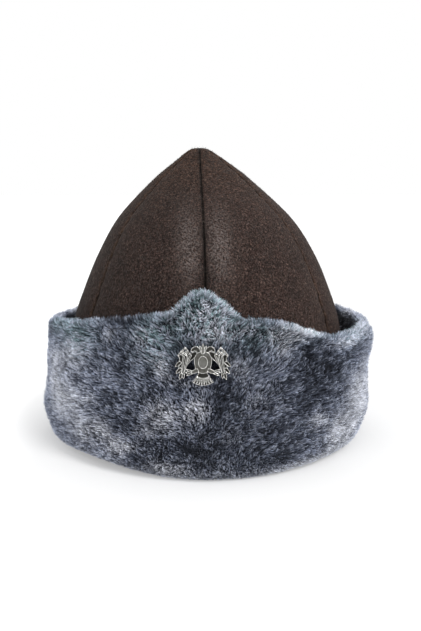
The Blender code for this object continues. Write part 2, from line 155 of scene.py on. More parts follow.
# Felt fibres lying on the crown.
FIBRE_COUNT = 46000
FIBRE_FLOOR = 0.058
FIBRE_FREE_COLUMNS = 3
FIBRE_LENGTHS = (0.0014, 0.0034)
FIBRE_WIDTHS = (0.00012, 0.00024)
FIBRE_LIFTS = (0.00010, 0.00050)
FIBRE_SPREAD = 0.75
FIBRE_LEVEL = (0.130, 0.175)
FIBRE_SINK = 0.00005
FIBRE_LIFT_FACTORS = (1, 1, 1, 1.8)
FIBRE_COLOUR = np.array((0.036, 0.026, 0.022))
FIBRE_LIGHTS = (0.5, 1.0, 1.7, 3.0)
FIBRE_LIGHT_SHARES = (0.35, 0.35, 0.22, 0.08)
FIBRE_WARMTH = (0.85, 1.2)

# Fur band: a strip of fur on its backing, folded round the crown's edge, its rim standing free.
BAND_HALF_WIDTH = 0.1057
BAND_HALF_DEPTH = 0.1178
BAND_PLAN_POWER = 1.92
FOOT_OUTER = -0.0085
FOLD_HEIGHT = 0.0120

# Where the fold's lower corner is raised off the floor: azimuth, reach along it, height.
FOOT_LIFTS = (
    (-42, 36, 0.0036),
    (46, 32, 0.0013),
)
HEM_THICKNESS = 0.0030
SEWN_HEIGHT = 0.0140
SEWN_GAP = 0.0003
CROWN_CLEARANCE = 0.0005
RIM_RADIUS = 0.0056
WALL_BULGE = 0.0018

# Rim round the band: azimuth, height of the crest, how far it leans out from the lower wall.
RIM = (
    (-180, 0.0780, 0.0000),
    (-135, 0.0745, 0.0000),
    (-90, 0.0752, -0.0008),
    (-50, 0.0838, -0.0030),
    (-28, 0.0895, -0.0080),
    (-14, 0.0935, -0.0095),
    (0, 0.0925, -0.0100),
    (14, 0.0900, -0.0095),
    (28, 0.0870, -0.0080),
    (50, 0.0753, -0.0012),
    (90, 0.0750, 0.0036),
    (135, 0.0765, 0.0020),
)

# The peak over the badge, with the width and the power of each side's slope. The left side is steeper.
PEAK_RISE = 0.0139
PEAK_AZIMUTH = -1.4
PEAK_LEFT = (11.5, 1.7)
PEAK_RIGHT = (14.0, 1.6)

# In the tables of places, heights and reaches along them are in millimetres.
# Dents and swells of the outer wall: azimuth, height, reach along both, depth (a swell is negative).
DENTS = (
    (-31, 80, 3.5, 12, 0.0022), (-12, 90, 2.5, 10, 0.002), (20, 78, 5, 12, 0.0016),
    (-64, 30, 3.5, 8, 0.0014), (-82, 20, 15, 9, -0.0022), (-80, 56, 14, 14, 0.0008),
    (-78, 40, 14, 10, 0.001), (48, 62, 12, 10, 0.0016), (-52, 40, 14, 14, -0.0012),
    (66, 30, 10, 14, -0.0014), (88, 45, 10, 12, 0.0026), (85, 62, 16, 9, -0.0028),
    (85, 19, 14, 9, -0.0026), (150, 45, 14, 16, 0.0014), (-140, 40, 16, 16, 0.0014),
)

# The band's section is a path from the hem inside, round the fold, over the rim and back to the crown.
# Parts of the path: number of points.
PATH_PARTS = (8, 14, 60, 22, 50, 8)
PATH_TURNS = 720

# Depth of the backing under the fur's surface, and its own thickness, by how many parts have passed.
PILE_DEPTHS = (
    (0, 0.0002), (1, 0.0008), (2, 0.0034), (2.2, 0.0042),
    (4.0, 0.0042), (4.4, 0.0030), (5, 0.0002),
)
BACKING = ((0, 0.0025), (1, 0.0022), (2, 0.0012), (2.2, 0.0010), (4.6, 0.0010), (5, 0.0020))
BACKING_TURNS = 192
BACKING_STEP = 3

# Fur strands.
STRAND_SPACING = 0.00060
FUR_DOWN_INSIDE = 0.020
STRAND_WIDTHS = (0.00020, 0.00036)
STRAND_REACH = (0.0013, 0.0028)
STRAND_RISE = (0.78, 1.12)
MID_SHARE = 0.52
MID_RISE = 0.80
STRAND_TURN = 0.16
STRAND_BOW = 0.25
STRAND_FACING = 0.45
MID_WIDTH = 0.9

# At the rim the strands are shorter and stand up, and on the inside they lie down.
RIM_REACH = 0.007
RIM_SHORTER = 0.35
RIM_RISE = (-0.05, 0.22)
INSIDE_FROM = 0.010
INSIDE_RISE = 0.98

# Tufts within tufts: size, spread of the strands' turn, of their rise and of their shade, pull to the middle.
TUFTS = (
    (0.0011, 0.30, 0.24, 3.2, 0.75),
    (0.0026, 0.35, 0.18, 2.0, 0.25),
    (0.0056, 0.40, 0.14, 0.8, 0),
    (0.0140, 0.40, 0, 0.1, 0),
)
TUFT_PLACES = (0.1, 0.9)
TUFT_PULLS = (0.6, 1.0)
TUFT_REACHES = (0.75, 1.2)
FLOOR_CLEARANCE = 0.0003
CROWN_AIR = 0.0004

# The nap leans away from the front, by this angle at most.
NAP_LEAN = math.radians(34)
NAP_REACH = 24.0

# Painted shade darkens the fur inside the band, and painted light lightens it along the rim and the foot.
PAINTED_SHADE_INSIDE = 5.0
PAINTED_SHADE_INSIDE_FROM = (0.0, 0.006)
PAINTED_LIGHT_AT_RIM = 0.5
PAINTED_RIM_LIGHT_REACH = 0.004
PAINTED_LIGHT_AT_FOOT = 1.4
PAINTED_FOOT_LIGHT_REACH = 0.0055

# Between these azimuths the sides and the back begin, where the tone is soft patches.
PLAIN_SIDES = (70, 100)
PATCH_GAIN = 2.6
SIDE_TONE = 0.55
PATCHES_PER_METRE = 42
CURL = 1.3

# Light and dark places of the fur, partly its own tone and partly painted light and shade, such as painted
# shade in the badge's openings and painted light along the foot: azimuth, height, reach along both, gain as a
# power of two.
TONE_AND_PAINTED_LIGHT_STRENGTH = 1.8
TONES_AND_PAINTED_LIGHT = (
    (-64, 50, 9, 20, 0.9), (-70, 72, 12, 8, -1), (-51, 62, 8, 11, 0.85), (-58, 32, 9, 12, 0.95),
    (-48, 38, 6, 8, 0.6), (-44, 20, 7, 10, 1.05), (-39, 40, 5, 5, 0.8), (-34, 24, 5, 6, 1.1),
    (-35, 90, 9, 6, -1.8), (-34, 78, 3, 4, 0.7), (-28, 15, 6, 6, 1.4), (-29, 64, 3, 7, -0.55),
    (-29, 77, 3, 5, -0.6), (-28, 28, 4, 6, -1.1), (-33, 41, 5, 6, -1.2), (-25, 90, 6, 5, -1.1),
    (-27, 64, 4, 7, -0.6), (-22, 79, 4, 7, 0.9), (-23, 10, 3, 4, -1), (-18, 53, 3, 4, -0.6),
    (-18, 67, 3, 4, 0.5), (-14, 63, 3, 7, 1.2), (-14, 36, 5, 8, 1.6), (-10, 17, 3, 4, -1.3),
    (-9, 73, 3, 7, -0.8), (-12, 7, 6, 4, 1.5), (-19, 26, 4, 4, 0.7), (-5, 56, 6, 3, 0.9),
    (-6, 47, 4, 4, -0.8), (-4, 18, 4, 6, -1.3), (-3, 41, 4, 7, 2.1), (-6, 63, 3, 5, -2.6),
    (3, 63, 3, 5, -2.6), (0, 93, 13, 12, 0.95), (3, 81, 6, 5, 0.8), (5, 50, 3, 8, -0.5),
    (5, 44, 4, 11, -0.9), (7, 24, 4, 6, 0.4), (12, 14, 6, 5, -0.6), (13, 83, 4, 4, 0.7),
    (14, 73, 5, 5, -0.7), (13, 61, 3, 6, 0.5), (18, 65, 3, 10, -0.3), (22, 91, 12, 4, -0.6),
    (16, 44, 4, 5, 0.5), (9, 64, 3, 6, 0.9), (20, 22, 8, 10, -0.5), (26, 13, 6, 5, -0.7),
    (28, 80, 8, 6, 1.7), (32, 30, 3, 14, -0.35), (34, 48, 7, 12, -0.9), (36, 67, 5, 6, -1.15),
    (27, 72, 4, 5, 0.9), (42, 42, 5, 7, -1), (38, 28, 5, 6, 1), (45, 55, 8, 8, -1.4),
    (54, 69, 8, 4, 0.9), (51, 14, 7, 10, 2.2), (36, 2, 14, 4, 1.1), (57, 60, 8, 6, -0.9),
    (64, 30, 11, 22, 1.45), (74, 74, 16, 7, 0.65), (56, 78, 5, 5, -0.8), (40, 81, 5, 5, 1.2),
    (95, 45, 14, 24, 0.6), (-95, 50, 14, 22, 0.5),
)

# Where the fur is tinted with teal: azimuth, height, reach along both, share.
TEALS = (
    (0, 96, 15, 20, 1.2), (-18, 78, 8, 14, 0.8), (-48, 76, 9, 12, 0.8), (18, 80, 8, 10, 0.6),
    (40, 81, 14, 6, 0.7), (66, 78, 16, 10, 0.8), (-66, 80, 14, 10, 0.7),
)
FUR_TIP = np.array((0.364, 0.412, 0.545))
FUR_TEAL = np.array((0.285, 0.420, 0.440))
FUR_PALE = np.array((0.435, 0.457, 0.530))
FUR_FLECK = np.array((0.70, 0.76, 0.92))
FUR_LIGHTEST = np.array((0.87, 0.895, 0.97))
FUR_ROOT = np.array((0.007, 0.009, 0.019))
PALEST = 2

# Share of the tip's colour at a strand's root and middle, and how much it grows with paleness.
ROOT_LIGHT = (0.05, 0.10)
MID_LIGHT = (0.49, 0.20)
STRAND_TONE = 0.55

# Some of the smallest tufts are lighter, and in light places the tufts differ more.
LIGHT_SHARE = 0.20
LIGHT_GAIN = 1.4
CRISP_LIGHTS = 0.35
CRISP_UP_TO = 1.5

# Badge.
BADGE_CENTRE = (-0.0020, 0.0667)
BADGE_SINK = 0.0008
BADGE_TILT = math.radians(7.7)
BADGE_POCKET = (0.0215, 0.0215)
BADGE_GAP = 0.0003
PILE_POCKET = (0.0150, 0.0112)
PILE_GAP = 0.0001
BADGE_HEIGHTS = (0.00110, 0.00185)
BADGE_SHADES = (
    (0.0, (0.022, 0.022, 0.020)),
    (0.5, (0.050, 0.050, 0.046)),
    (1.0, (0.170, 0.170, 0.160)),
)
BEVEL_WIDTH = 0.00010
BEVEL_FROM = math.radians(35)
WIRE_SIDES = 5
WIRE_RADIUS = 0.00013
WIRE_FLOOR = 0.0011
WIRE_TURN = math.radians(50)

# Studio. The floor's colour is paler at its left, a painted light that pales the shadow there.
WORLD_LIGHT = 1.0
FLOOR_REACH = 6.0
FLOOR_GLOW = 0.33
FLOOR_LEFT_PAINTED_LIGHT = (0.64, 0.64, 0.64)
FLOOR_PAINTED_LIGHT_SIDE = (-0.155, -0.100)

# Lights: name, azimuth, elevation, spread, strength.
SUNS = (
    ("key_right", 42, 46, 25, 2.00),
    ("fill_left", -65, 30, 60, 0.40),
    ("top_back", 165, 62, 50, 0.60),
)

# Camera, as fitted to the photo of 421 by 631 pixels.
CAMERA_PLACE = Vector((-0.0032, -0.560, 0.169))
CAMERA_AIM_HEIGHT = 0.085
CAMERA_LENS = 48.04
CAMERA_SHIFT = (0.0154, -0.0242)
CAMERA_SENSOR = 36

RANDOM_SEED = 41


def mix(a, b, share):
    return a + (b - a) * share


def smoothstep(low, high, value):
    share = np.clip((value - low) / (high - low), 0, 1)
    return share * share * (3 - 2 * share)


def unit(vectors):
    return vectors / np.maximum(norm(vectors, axis=-1, keepdims=True), 1e-12)


def spline(before, start, end, after, t):
    """A Catmull-Rom curve's value at t, between start and end."""
    return 0.5 * (
        2 * start
        + (end - before) * t
        + (2 * before - 5 * start + 4 * end - after) * t * t
        + (3 * start - before - 3 * end + after) * t**3
    )


def path_length(points):
    return norm(np.diff(points, axis=0), axis=1).sum()


def profile_points(rows, count):
    """Points at even spacing along a smooth curve through the rows."""
    ends = np.array(rows)
    ends = np.concatenate([2 * ends[:1] - ends[1:2], ends, 2 * ends[-1:] - ends[-2:-1]])
    fine = []
    for k in range(1, len(ends) - 2):
        fine += [spline(*ends[k - 1 : k + 3], t / CURVE_STEPS) for t in range(CURVE_STEPS)]
    fine = np.array([*fine, ends[-2]])
    travelled = np.concatenate([[0], norm(np.diff(fine, axis=0), axis=1).cumsum()])
    wanted = np.linspace(0, travelled[-1], count)
    return np.stack([np.interp(wanted, travelled, fine[:, n]) for n in (0, 1)], axis=1)


CROWN_CURVE = profile_points(CROWN_SECTIONS, CURVE_POINTS)


def crown_lean(height):
    """The crown's middle rows stand a little to the right of its lower edge, and its tip leans left."""
    share = np.maximum(0, (height - LEAN_START) / (CROWN_TOP - LEAN_START))
    low, high = SHIFTED
    shift = MIDDLE_SHIFT * np.sin(math.pi * np.clip((height - low) / (high - low), 0, 1))
    return APEX_LEAN * share * share + shift


def crown_points(half_width, height, azimuth):
    turn = np.radians(azimuth)
    x = half_width * np.sin(turn) + crown_lean(height)
    y = -half_width * CROWN_DEPTH_RATIO * np.cos(turn)
    return np.stack(np.broadcast_arrays(x, y, height), axis=-1)


def seam_dip(across, height):
    """How far the felt is drawn in beside a seam. across runs from 0 to 1 over a gore."""
    return mix(*SEAM_DIPS, np.minimum(1, height / CROWN_TOP)) * np.abs(2 * across - 1) ** SEAM_SHARPNESS


def column_shares():
    middle = np.linspace(EDGE_SHARES[-1], 1 - EDGE_SHARES[-1], MIDDLE_COLUMNS + 1)[1:-1]
    edge = np.array(EDGE_SHARES)
    return np.concatenate([edge, middle, 1 - edge[::-1]])


def soft_noise(points, per_metre, seed=0):
    shift = Vector([seed * part for part in NOISE_SHIFT])
    values = [noise.noise(Vector(p) + shift) for p in points.reshape(-1, 3) * per_metre]
    return np.array(values).reshape(points.shape[:-1])


def puckers(travelled, seam_distance, seed):
    """Small folds across the seam, fading away from it."""
    waves = 0
    for n, length in enumerate(PUCKER_LENGTHS):
        waves = waves + np.sin(travelled * 2 * math.pi / length + seed * GORE_PHASE + n * WAVE_PHASE)
    return PUCKER_DEPTH * waves * np.exp(-seam_distance / PUCKER_REACH)


def gore_surface(first, last, seed):
    """Outer and inner points of a gore, rows by columns, and each column's distance from a seam."""
    profile = profile_points(CROWN_SECTIONS, CROWN_ROWS)
    rise = unit(np.gradient(profile, axis=0))
    inward = np.stack([-rise[:, 1], rise[:, 0]], axis=1)
    inward[0] = (-1, 0)
    travelled = np.linspace(0, 1, CROWN_ROWS)[:, None] * path_length(profile)
    half_width, height = profile[:, :1], profile[:, 1:]
    across = column_shares()[None, :]
    width = half_width * math.radians(last - first) * GORE_WIDENING
    seam_distance = width * np.minimum(across, 1 - across)
    dip = np.minimum(seam_dip(across, height), half_width * DIP_AT_TIP)
    roll_size = np.minimum(SEAM_ROLL, ROLL_AT_TIP * width)
    short = np.clip(1 - seam_distance / roll_size, 0, 1)
    roll = roll_size * (1 - np.sqrt(1 - short * short))
    near_tip = smoothstep(*FOLDS_END, half_width)
    smooth = crown_points(half_width, height, mix(first, last, across))
    folds = puckers(travelled, seam_distance, seed + (across > 0.5) * SIDE_PHASE) * near_tip
    waves = FELT_WAVE_DEPTH * soft_noise(smooth, FELT_WAVES_PER_METRE, seed) * near_tip
    low = smoothstep(*FOLDS_START, height)
    side = {}
    for name, depth in (("outer", dip + roll + (folds + waves) * low), ("inner", dip + FELT + waves * low)):
        x = half_width + inward[:, :1] * depth
        z = height + inward[:, 1:] * depth
        trim = np.degrees(np.arcsin(SEAM_GAP / 2 / np.maximum(x, TIP_HALF_WIDTH)))
        azimuth = first + trim + (last - first - 2 * trim) * across
        side[name] = crown_points(np.maximum(x, TIP_HALF_WIDTH), z, azimuth) + CENTRING
    return side["outer"], side["inner"], seam_distance


def shell_faces(rows, columns, closed=False):
    """Faces of a wall given as an outer grid of points and then an inner one. closed joins the rows' ends."""
    r, c = np.meshgrid(np.arange(rows - 1), np.arange(columns if closed else columns - 1), indexing="ij")
    r, c = r.ravel(), c.ravel()
    d = (c + 1) % columns
    inside = rows * columns
    outer = np.stack([r * columns + c, r * columns + d, (r + 1) * columns + d, (r + 1) * columns + c], 1)
    faces = [outer, outer[:, ::-1] + inside]
    if not closed:
        k = np.arange(rows - 1) * columns
        left = np.stack([k, k + columns, k + columns + inside, k + inside], 1)
        k = k + columns - 1
        right = np.stack([k, k + inside, k + columns + inside, k + columns], 1)
        faces += [left, right]
    k = np.arange(columns if closed else columns - 1)
    d = (k + 1) % columns
    bottom = np.stack([k, k + inside, d + inside, d], 1)
    top = (rows - 1) * columns
    faces += [bottom, np.stack([k, d, d + inside, k + inside], 1) + top]
    return np.concatenate(faces)


def new_object(name, data):
    made = bpy.data.objects.new(name, data)
    bpy.context.scene.collection.objects.link(made)
    return made


def new_piece(name, points, faces, finish):
    """A mesh object of equal-sided faces that rides on the part's one body."""
    mesh = bpy.data.meshes.new(name)
    sides = faces.shape[1]
    mesh.vertices.add(len(points))
    mesh.vertices.foreach_set("co", np.asarray(points, np.float32).ravel())
    mesh.loops.add(faces.size)
    mesh.loops.foreach_set("vertex_index", faces.astype(np.int32).ravel())
    mesh.polygons.add(len(faces))
    mesh.polygons.foreach_set("loop_start", np.arange(0, faces.size, sides, dtype=np.int32))
    mesh.update(calc_edges=True)
    mesh.materials.append(finish)
    mesh.shade_smooth()
    piece = new_object(name, mesh)
    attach(piece, "root")
    return piece


def wall_piece(name, outer, inner, finish, closed=False):
    """A piece whose wall has these outer and inner grids of points."""
    points = np.concatenate([outer.reshape(-1, 3), inner.reshape(-1, 3)])
    return new_piece(name, points, shell_faces(*outer.shape[:2], closed), finish)


def point_values(piece, name, values):
    """A number for each vertex."""
    layer = piece.data.attributes.new(name, "FLOAT", "POINT")
    layer.data.foreach_set("value", np.asarray(values, np.float32).ravel())


def point_colours(piece, name, colours):
    layer = piece.data.color_attributes.new(name, "FLOAT_COLOR", "POINT")
    full = np.concatenate([colours, np.ones((len(colours), 1))], axis=1)
    layer.data.foreach_set("color", full.astype(np.float32).ravel())


class Tree:
    """A material's nodes."""

    def __init__(self, name):
        self.material = bpy.data.materials.new(name)
        self.material.use_nodes = True
        self.nodes = self.material.node_tree.nodes
        self.links = self.material.node_tree.links
        self.shader = self.nodes["Principled BSDF"]
        self.place = self.add("ShaderNodeTexCoord").outputs["Object"]

    def add(self, kind, **settings):
        node = self.nodes.new(kind)
        for name, value in settings.items():
            setattr(node, name, value)
        return node

    def plug(self, source, target):
        if hasattr(source, "is_output"):
            self.links.new(source, target)
        else:
            target.default_value = source

    def feed(self, node, **values):
        for name, value in values.items():
            self.plug(value, node.inputs[name.replace("_", " ")])

    def set(self, **values):
        self.feed(self.shader, **values)

    def stretched(self, scale):
        node = self.add("ShaderNodeMapping")
        self.feed(node, Vector=self.place, Scale=scale)
        return node.outputs["Vector"]

    def noise(self, scale, detail=3.0, roughness=0.55, place=None):
        node = self.add("ShaderNodeTexNoise")
        self.feed(node, Vector=place or self.place, Scale=scale, Detail=detail, Roughness=roughness)
        return node.outputs["Fac"]

    def ramp(self, value, *stops):
        node = self.add("ShaderNodeValToRGB")
        self.plug(value, node.inputs["Fac"])
        ramp = node.color_ramp
        while len(ramp.elements) < len(stops):
            ramp.elements.new(0.5)
        for element, (position, colour) in zip(ramp.elements, stops):
            element.position = position
            shade = colour if hasattr(colour, "__len__") else (colour,) * 3
            element.color = (*shade, 1)
        return node.outputs["Color"]

    def blend(self, share, first, second, kind="MIX"):
        node = self.add("ShaderNodeMix", data_type="RGBA", blend_type=kind)
        self.plug(share, node.inputs["Factor"])
        for source, socket in ((first, node.inputs[6]), (second, node.inputs[7])):
            self.plug(source if hasattr(source, "is_output") else (*source, 1), socket)
        return node.outputs[2]

    def times(self, shade, factor):
        return self.blend(1.0, shade, factor, "MULTIPLY")

    def math(self, first, second, kind="ADD"):
        node = self.add("ShaderNodeMath", operation=kind)
        self.plug(first, node.inputs[0])
        self.plug(second, node.inputs[1])
        return node.outputs["Value"]

    def stored(self, name, kind="Fac"):
        return self.add("ShaderNodeAttribute", attribute_name=name).outputs[kind]

    def axis(self, name):
        node = self.add("ShaderNodeSeparateXYZ")
        self.plug(self.place, node.inputs[0])
        return node.outputs[name]

    def span(self, value, low, high):
        node = self.add("ShaderNodeMapRange", interpolation_type="SMOOTHSTEP")
        self.feed(node, Value=value, From_Min=low, From_Max=high)
        return node.outputs["Result"]

    def bump(self, height, distance, strength=1.0):
        node = self.add("ShaderNodeBump")
        self.feed(node, Strength=strength, Distance=distance, Height=height)
        self.set(Normal=node.outputs["Normal"])


def felt_material():
    tree = Tree("crown_felt_fibres")
    upright = tree.noise(1, 4, 0.65, tree.stretched((FELT_FINE, FELT_FINE, FELT_LONG)))
    level = tree.noise(1, 4, 0.65, tree.stretched((FELT_LONG, FELT_LONG, FELT_FINE)))
    streaks = tree.blend(tree.span(tree.axis("Z"), *FELT_LEVEL), upright, level)
    grain = tree.noise(FELT_FINE, 3, 0.7)
    patches = tree.noise(55, 5, 0.6)
    fleck = tree.ramp(grain, (0.36, 0.22), (0.50, 0.78), (0.64, 3))
    shade = tree.times(tree.ramp(streaks, *FELT_STREAKS), fleck)
    shade = tree.times(shade, tree.ramp(patches, (0.30, 0.80), (0.70, (1.25, 1.20, 1.15))))
    # Painted shade at the crown's left and painted light at its right.
    painted_light_side = tree.span(tree.axis("X"), *FELT_PAINTED_LIGHT_SIDES)
    shade = tree.blend(painted_light_side, tree.times(shade, FELT_LEFT_PAINTED_SHADE), tree.times(shade, FELT_RIGHT_PAINTED_LIGHT))
    high = tree.math(tree.span(tree.axis("Z"), *FELT_HEIGHTS), FELT_HIGH_SHARE, "MULTIPLY")
    shade = tree.blend(high, shade, tree.times(shade, FELT_HIGH))
    # A painted highlight: glints on the nap beside the front seam.
    painted_glints = tree.ramp(tree.noise(900, 3, 0.7), (0.42, 0), (0.66, 1))
    shade = tree.blend(tree.stored("seam_painted_highlight"), shade, tree.blend(painted_glints, shade, FELT_PAINTED_GLINT))
    # Painted shade where the felt dips beside the front seam.
    shade = tree.blend(tree.stored("seam_painted_pinch_shade"), shade, tree.times(shade, FELT_PAINTED_PINCH_SHADE))
    broken = tree.ramp(tree.noise(210, 2), (0.35, 0), (0.65, 1))
    worn = tree.math(tree.stored("seam_edge"), broken, "MULTIPLY")
    shade = tree.blend(worn, shade, FELT_WORN)
    # Painted shade in the seams' grooves.
    shade = tree.blend(tree.stored("seam_painted_groove_shade"), shade, FELT_PAINTED_GROOVE_SHADE)
    tree.set(Base_Color=shade, Roughness=0.88, Specular_IOR_Level=0.08)
    tree.set(Sheen_Weight=0.02, Sheen_Roughness=0.5, Sheen_Tint=(1, 0.86, 0.74, 1))
    relief = tree.math(tree.math(streaks, 0.7, "MULTIPLY"), tree.math(grain, 0.6, "MULTIPLY"))
    tree.bump(relief, 0.0008, 1)
    return tree.material


def fibre_material():
    tree = Tree("crown_felt_loose_fibres")
    spot = tree.ramp(tree.noise(900, 2), (0.35, 0.75), (0.65, 1.30))
    tree.set(Base_Color=tree.times(tree.stored("fibre_shade", "Color"), spot))
    tree.set(Roughness=0.7, Specular_IOR_Level=0.25)
    tree.set(Sheen_Weight=0.04, Sheen_Roughness=0.4, Sheen_Tint=(1, 0.9, 0.8, 1))
    return tree.material


def fur_material():
    tree = Tree("band_fur_strands")
    spot = tree.ramp(tree.noise(700, 2, 0.6), (0.32, 0.55), (0.68, 1.40))
    tree.set(Base_Color=tree.times(tree.stored("strand_shade", "Color"), spot))
    tree.set(Roughness=0.50, Specular_IOR_Level=0.20)
    tree.set(Sheen_Weight=0.03, Sheen_Roughness=0.35, Sheen_Tint=(0.9, 0.95, 1, 1))
    return tree.material


def backing_material():
    """The dark knitted strip under the fur."""
    tree = Tree("band_fur_backing")
    knit = tree.noise(1, 3, 0.5, tree.stretched((900, 900, 1500)))
    shade = tree.ramp(knit, (0.3, (0.010, 0.011, 0.014)), (0.7, (0.040, 0.043, 0.052)))
    tree.set(Base_Color=shade, Roughness=0.95, Specular_IOR_Level=0.15)
    tree.bump(knit, 0.0004, 0.8)
    return tree.material


def badge_material(place):
    """Antique silver: bright on raised parts, dark in the fields between them."""
    tree = Tree("badge_antique_silver")
    out = place.to_3x3() @ Vector((0, 0, 1))
    node = tree.add("ShaderNodeVectorMath", operation="DOT_PRODUCT")
    tree.plug(tree.place, node.inputs[0])
    node.inputs[1].default_value = out
    above = tree.math(node.outputs["Value"], place.translation.dot(out), "SUBTRACT")
    worn = tree.noise(900, 4, 0.65)
    uneven = tree.math(tree.math(worn, 0.5, "SUBTRACT"), 0.0006, "MULTIPLY")
    lift = tree.span(tree.math(above, uneven), *BADGE_HEIGHTS)
    tarnish = tree.ramp(tree.noise(260, 5, 0.65), (0.35, (0.60, 0.58, 0.53)), (0.62, 1))
    rough = tree.ramp(worn, (0.3, 0.24), (0.7, 0.46))
    tree.set(Base_Color=tree.times(tree.ramp(lift, *BADGE_SHADES), tarnish), Metallic=0.92, Roughness=rough)
    tree.bump(tree.noise(2600, 2), 0.00006, 0.6)
    return tree.material


def badge_wire_material():
    tree = Tree("badge_bright_edges")
    worn = tree.ramp(tree.noise(1100, 3), (0.35, (0.50, 0.50, 0.47)), (0.60, (0.92, 0.92, 0.90)))
    tree.set(Base_Color=worn, Metallic=0.9, Roughness=0.26)
    tree.bump(tree.noise(3000, 2), 0.00004, 0.5)
    return tree.material


def floor_material():
    """A light table: matte white that glows a little, so that shadows on it stay pale; at its left its colour
    is also paler, a painted light that pales the shadow there.
    """
    tree = Tree("studio_floor")
    shade = tree.ramp(tree.noise(6, 2), (0.3, (0.468, 0.468, 0.470)), (0.7, 0.480))
    # Painted light: the floor's colour is paler at its left, which pales the shadow there.
    shade = tree.blend(tree.span(tree.axis("X"), *FLOOR_PAINTED_LIGHT_SIDE), FLOOR_LEFT_PAINTED_LIGHT, shade)
    tree.set(Base_Color=shade, Roughness=0.9, Specular_IOR_Level=0.1)
    tree.set(Emission_Color=(1, 1, 1, 1), Emission_Strength=FLOOR_GLOW)
    return tree.material


def grid_area(points):
    """Area of a grid of points, rows by columns."""
    along, across = np.diff(points, axis=0), np.diff(points, axis=1)
    halves = np.cross(along[:, :-1], across[:-1]), np.cross(along[:, 1:], across[1:])
    return sum(norm(half, axis=-1) / 2 for half in halves)


def seam_shading(distance, height):
    """Beside the front seam: how much painted shade darkens the felt where it dips in, and where a painted
    highlight lightens its nap.
    """
    width = mix(*PAINTED_SHADE_WIDTHS, smoothstep(*PAINTED_SHADE_NARROWS, height))
    painted_pinch_shade = np.exp(-((distance / width) ** 2)) * mix(*PAINTED_SHADE_SHARES, smoothstep(*PAINTED_SHADE_FADES, height))
    beside, middle = PAINTED_HIGHLIGHT_PLACE
    wide, tall = PAINTED_HIGHLIGHT_REACH
    return painted_pinch_shade, np.exp(-(((distance - beside) / wide) ** 2) - ((height - middle) / tall) ** 2)


def at_front(node):
    """1 for the columns on the front seam's side of the two front gores, 0 for all others."""
    near = (column_shares() < 0.5) == (node == FRONT_GORES[0])
    return (near & (node in FRONT_GORES)).astype(float)


def make_gores():
    """The six felt gores. Gives their outer grids, for the fibres that lie on them."""
    felt = felt_material()
    grids = []
    for seed, (node, first, last) in enumerate(GORES):
        outer, inner, seam_distance = gore_surface(first, last, seed)
        name = node.replace("crown_gore", "felt_gore")
        gore = wall_piece(name, outer, inner, felt)
        front = at_front(node)
        edge = np.exp(-(((seam_distance - WORN_PLACE) / WORN_WIDTH) ** 2)) * WORN_SEAM * (1 - front)
        # Painted shade in each seam's groove, in full at the front seam.
        painted_groove_shade = (1 - smoothstep(*PAINTED_GROOVE_EDGES, seam_distance)) * mix(PAINTED_GROOVE_SHARE, 1.0, front)
        # Beside the front seam: painted shade where the felt dips, and a painted highlight on its nap.
        painted_pinch_shade, painted_highlight = seam_shading(seam_distance, outer[..., 2])
        layers = {"edge": edge, "painted_groove_shade": painted_groove_shade, "painted_pinch_shade": painted_pinch_shade * front, "painted_highlight": painted_highlight * front}
        for layer, values in layers.items():
            point_values(gore, f"seam_{layer}", np.stack([values, 0 * values]))
        middle = (outer + inner) / 2
        width, length = path_length(middle[0]), path_length(middle[:, middle.shape[1] // 2])
        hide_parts(node)
        float(grid_area(middle).sum())
        grids.append(outer)
    return grids


def make_fibres(grids, rng):
    """Short loose fibres of the felt, flat on the crown above the band. Beside the seams there are none."""
    kept = slice(FIBRE_FREE_COLUMNS, -FIBRE_FREE_COLUMNS)
    cells = [np.stack([g[:-1, :-1], g[:-1, 1:], g[1:, 1:], g[1:, :-1]], axis=2)[:, kept] for g in grids]
    corners = np.concatenate(cells).reshape(-1, 4, 3)
    corners = corners[corners[:, :, 2].min(axis=1) > FIBRE_FLOOR]
    spread = np.cross(corners[:, 2] - corners[:, 0], corners[:, 3] - corners[:, 1])
    area = norm(spread, axis=1)
    chosen = rng.choice(len(corners), FIBRE_COUNT, p=area / area.sum())
    cell = corners[chosen]
    s, t = rng.random((2, FIBRE_COUNT, 1))
    root = mix(mix(cell[:, 0], cell[:, 1], s), mix(cell[:, 3], cell[:, 2], s), t)
    up = unit(cell[:, 3] - cell[:, 0])
    out = unit(np.cross(cell[:, 1] - cell[:, 0], up))
    side = np.cross(up, out)
    level = smoothstep(*FIBRE_LEVEL, root[:, 2])
    turn = rng.normal(0, FIBRE_SPREAD, FIBRE_COUNT) + level * math.pi / 2
    ahead = up * np.cos(turn)[:, None] + side * np.sin(turn)[:, None]
    beside = unit(np.cross(out, ahead)) * rng.uniform(*FIBRE_WIDTHS, (FIBRE_COUNT, 1)) / 2
    long = rng.uniform(*FIBRE_LENGTHS, (FIBRE_COUNT, 1))
    lift = out * rng.uniform(*FIBRE_LIFTS, (FIBRE_COUNT, 1))
    lift = lift * rng.choice(FIBRE_LIFT_FACTORS, (FIBRE_COUNT, 1))
    low = root - out * FIBRE_SINK
    points = np.stack([low - beside, low + beside, root + ahead * long + lift], axis=1)
    faces = np.arange(FIBRE_COUNT * 3).reshape(-1, 3)
    fibres = new_piece("felt_loose_fibres", points.reshape(-1, 3), faces, fibre_material())
    light = rng.choice(FIBRE_LIGHTS, (FIBRE_COUNT, 1), p=FIBRE_LIGHT_SHARES)
    warm = rng.uniform(*FIBRE_WARMTH, (FIBRE_COUNT, 1))
    shade = FIBRE_COLOUR * light * np.concatenate([warm, warm * 0 + 1, 2 - warm], axis=1)
    point_colours(fibres, "fibre_shade", np.repeat(shade, 3, axis=0))


